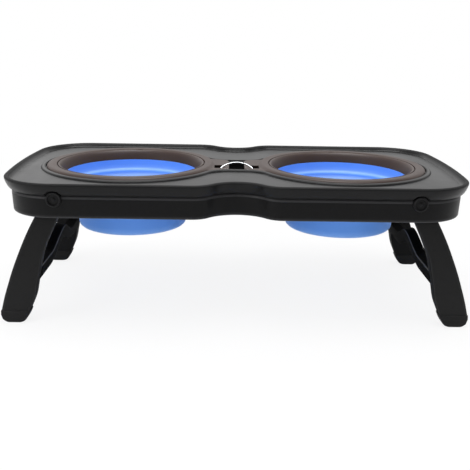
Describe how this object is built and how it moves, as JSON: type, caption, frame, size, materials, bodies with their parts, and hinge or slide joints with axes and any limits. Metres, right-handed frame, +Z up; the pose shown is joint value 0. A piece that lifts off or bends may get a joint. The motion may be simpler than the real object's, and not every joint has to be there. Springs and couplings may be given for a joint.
{
  "type": "dog feeder stand",
  "caption": "Raised dog feeder with a waisted tray on splayed folding leg frames, press-flat bowls in brown rims that lift out together by a wire bail, and rubber feet.",
  "frame": {"origin": "on the floor, under the middle of the stand", "axes": "+X along the tray to the right bowl, +Y to the rear, +Z up"},
  "size_m": [0.4286, 0.219, 0.1366],
  "materials": {
    "tray_plastic": "satin black moulding",
    "apron_plastic": "satin black moulding",
    "leg_plastic": "fine matt black moulding",
    "rim_plastic": "satin brown moulding",
    "bowl_silicone": "soft blue silicone",
    "bright_wire": "bright plated wire",
    "foot_rubber": "matt black rubber",
    "pin_plastic": "satin black",
    "washer_plastic": "natural slippery plastic",
    "zinc_steel": "zinc plated"
  },
  "bodies": {
    "stand": {"tray_deck": "tray_plastic", "apron": "apron_plastic", "deck_screws": "zinc_steel", "left_front_pin": "pin_plastic", "left_rear_pin": "pin_plastic", "right_front_pin": "pin_plastic", "right_rear_pin": "pin_plastic", "pivot_washers": "washer_plastic", "pin_clips": "zinc_steel"},
    "bowl_set": {"left_rim": "rim_plastic", "right_rim": "rim_plastic", "left_upper_band": "bowl_silicone", "right_upper_band": "bowl_silicone"},
    "bail": {"carry_bail": "bright_wire"},
    "left_middle": {"left_middle_band": "bowl_silicone"},
    "left_lower": {"left_lower_band": "bowl_silicone"},
    "left_cup": {"left_base_cup": "bowl_silicone"},
    "right_middle": {"right_middle_band": "bowl_silicone"},
    "right_lower": {"right_lower_band": "bowl_silicone"},
    "right_cup": {"right_base_cup": "bowl_silicone"},
    "left_legs": {"left_leg_frame": "leg_plastic", "left_front_foot": "foot_rubber", "left_rear_foot": "foot_rubber"},
    "right_legs": {"right_leg_frame": "leg_plastic", "right_front_foot": "foot_rubber", "right_rear_foot": "foot_rubber"}
  },
  "joints": [
    {"name": "bowl_lift", "type": "slide", "parent": "stand", "child": "bowl_set", "axis": [0, 0, 1], "range_m": [0, 0.1]},
    {"name": "bail_swing", "type": "hinge", "parent": "bowl_set", "child": "bail", "pos_m": [0, -0.017, 0.1287], "axis": [1, 0, 0], "range_deg": [0, 66]},
    {"name": "left_leg_fold", "type": "hinge", "parent": "stand", "child": "left_legs", "pos_m": [-0.158, 0, 0.1185], "axis": [0, -1, 0], "range_deg": [0, 96]},
    {"name": "right_leg_fold", "type": "hinge", "parent": "stand", "child": "right_legs", "pos_m": [0.158, 0, 0.1185], "axis": [0, 1, 0], "range_deg": [0, 96]},
    {"name": "left_middle_rise", "type": "slide", "parent": "bowl_set", "child": "left_middle", "axis": [0, 0, 1], "range_m": [0, 0.0109]},
    {"name": "left_lower_rise", "type": "slide", "parent": "bowl_set", "child": "left_lower", "axis": [0, 0, 1], "range_m": [0, 0.0216]},
    {"name": "left_cup_rise", "type": "slide", "parent": "bowl_set", "child": "left_cup", "axis": [0, 0, 1], "range_m": [0, 0.0407]},
    {"name": "right_middle_rise", "type": "slide", "parent": "bowl_set", "child": "right_middle", "axis": [0, 0, 1], "range_m": [0, 0.0109]},
    {"name": "right_lower_rise", "type": "slide", "parent": "bowl_set", "child": "right_lower", "axis": [0, 0, 1], "range_m": [0, 0.0216]},
    {"name": "right_cup_rise", "type": "slide", "parent": "bowl_set", "child": "right_cup", "axis": [0, 0, 1], "range_m": [0, 0.0407]}
  ],
  "couplings": [
    {"joint": "left_middle_rise", "follows": "left_leg_fold", "m_per_rad": 0.00642},
    {"joint": "left_lower_rise", "follows": "left_leg_fold", "m_per_rad": 0.01278},
    {"joint": "left_cup_rise", "follows": "left_leg_fold", "m_per_rad": 0.0242},
    {"joint": "right_middle_rise", "follows": "right_leg_fold", "m_per_rad": 0.00642},
    {"joint": "right_lower_rise", "follows": "right_leg_fold", "m_per_rad": 0.01278},
    {"joint": "right_cup_rise", "follows": "right_leg_fold", "m_per_rad": 0.0242}
  ]
}
